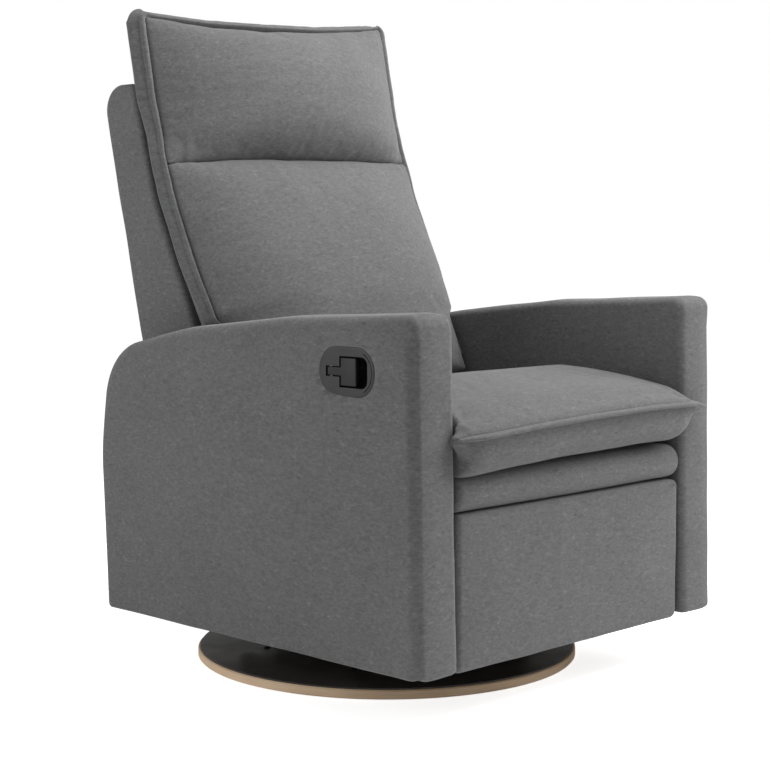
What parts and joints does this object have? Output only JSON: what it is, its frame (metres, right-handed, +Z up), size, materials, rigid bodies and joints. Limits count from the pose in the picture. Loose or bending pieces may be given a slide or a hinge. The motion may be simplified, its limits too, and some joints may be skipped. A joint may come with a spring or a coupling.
{
  "type": "glider nursery chair",
  "caption": "Upholstered swivel glider recliner with padded arms, pillow back, fold-out footrest and pull lever, on a round wooden base.",
  "frame": {"origin": "on the floor under the swivel axis, at the middle of the base's underside", "axes": "+Z up, -Y to the front, -X to the sitter's right, where the pull lever is"},
  "size_m": [0.7335, 0.878, 1.102],
  "materials": {
    "upholstery": "heathered woven",
    "base_wood": "satin light oak",
    "cover_plate": "satin black brown",
    "felt": "felt",
    "frame_wood": "raw",
    "dark_steel": "satin black",
    "zinc_steel": "zinc plated",
    "nylon": "matte",
    "black_plastic": "fine grained"
  },
  "bodies": {
    "base": {"floor_felt": "felt", "base_disc": "base_wood", "base_cover_plate": "cover_plate", "base_screws": "dark_steel", "lower_bearing_plate": "zinc_steel", "bearing_cage": "nylon", "bearing_balls": "zinc_steel", "swivel_bolt": "zinc_steel"},
    "swivel_frame": {"upper_bearing_plate": "zinc_steel", "glider_cross_bars": "dark_steel", "glider_side_bars": "dark_steel", "swing_plates": "dark_steel", "upper_pivot_pins": "zinc_steel"},
    "front_links": {"front_swing_links": "dark_steel"},
    "rear_links": {"rear_swing_links": "dark_steel"},
    "carriage": {"glide_rails": "dark_steel", "lower_pivot_pins": "zinc_steel", "front_cross_beam": "frame_wood", "rear_cross_beam": "frame_wood", "arm_panel_left": "frame_wood", "arm_panel_right": "frame_wood", "arm_front_posts": "frame_wood", "arm_rear_posts": "frame_wood", "arm_top_boards": "frame_wood", "arm_pad_left": "upholstery", "arm_pad_right": "upholstery", "side_rails": "frame_wood", "mechanism_plate_left": "dark_steel", "mechanism_plate_right": "dark_steel", "mechanism_bolts": "zinc_steel", "front_rail": "frame_wood", "front_roll": "upholstery", "rear_panel": "upholstery", "footrest_pivot_pins": "zinc_steel", "back_pivot_pins": "zinc_steel", "handle_cup": "black_plastic", "handle_pin": "zinc_steel", "release_cable": "black_plastic"},
    "seat": {"seat_side_rails": "frame_wood", "seat_cross_rails": "frame_wood", "seat_springs": "zinc_steel", "seat_cushion": "upholstery"},
    "back": {"back_stiles": "frame_wood", "back_rails": "frame_wood", "back_brackets": "dark_steel", "back_shell": "upholstery", "back_cushion": "upholstery", "head_pillow": "upholstery"},
    "release_lever": {"handle_lever": "black_plastic"},
    "foot_lower": {"footrest_lower_links": "dark_steel", "footrest_knee_shaft": "zinc_steel"},
    "foot_upper": {"footrest_upper_links": "dark_steel", "footrest_end_shaft": "zinc_steel"},
    "footrest": {"footrest_brackets": "dark_steel", "footrest_board": "frame_wood", "footrest_pad": "upholstery"}
  },
  "joints": [
    {"name": "swivel", "type": "hinge", "parent": "base", "child": "swivel_frame", "pos_m": [0, 0, 0.0223], "axis": [0, 0, 1], "continuous": true},
    {"name": "glide", "type": "hinge", "parent": "swivel_frame", "child": "front_links", "pos_m": [0, -0.11, 0.215], "axis": [1, 0, 0], "range_deg": [-30, 30]},
    {"name": "carriage_level", "type": "hinge", "parent": "front_links", "child": "carriage", "pos_m": [0, -0.11, 0.115], "axis": [1, 0, 0], "range_deg": [-30, 30]},
    {"name": "rear_swing", "type": "hinge", "parent": "swivel_frame", "child": "rear_links", "pos_m": [0, 0.11, 0.215], "axis": [1, 0, 0], "range_deg": [-30, 30]},
    {"name": "recline", "type": "hinge", "parent": "carriage", "child": "back", "pos_m": [0, 0.2, 0.36], "axis": [-1, 0, 0], "range_deg": [0, 32]},
    {"name": "seat_slide", "type": "slide", "parent": "carriage", "child": "seat", "axis": [0, -1, 0], "range_m": [0, 0.03]},
    {"name": "footrest_open", "type": "hinge", "parent": "carriage", "child": "foot_lower", "pos_m": [0, -0.345, 0.285], "axis": [-1, 0, 0], "range_deg": [0, 85]},
    {"name": "footrest_knee", "type": "hinge", "parent": "foot_lower", "child": "foot_upper", "pos_m": [0, -0.345, 0.135], "axis": [-1, 0, 0], "range_deg": [-140, 0]},
    {"name": "footrest_turn", "type": "hinge", "parent": "foot_upper", "child": "footrest", "pos_m": [0, -0.345, 0.285], "axis": [-1, 0, 0], "range_deg": [0, 145]},
    {"name": "lever_pull", "type": "hinge", "parent": "carriage", "child": "release_lever", "pos_m": [-0.3625, -0.244, 0.524], "axis": [0, 0, -1], "range_deg": [0, 25], "stiffness_Nm_per_rad": 0.3}
  ],
  "couplings": [
    {"joint": "carriage_level", "follows": "glide", "ratio": -1},
    {"joint": "rear_swing", "follows": "glide", "ratio": 1},
    {"joint": "seat_slide", "follows": "recline", "m_per_rad": 0.0537},
    {"joint": "footrest_knee", "follows": "footrest_open", "ratio": -1.647},
    {"joint": "footrest_turn", "follows": "footrest_open", "ratio": 1.7058}
  ]
}
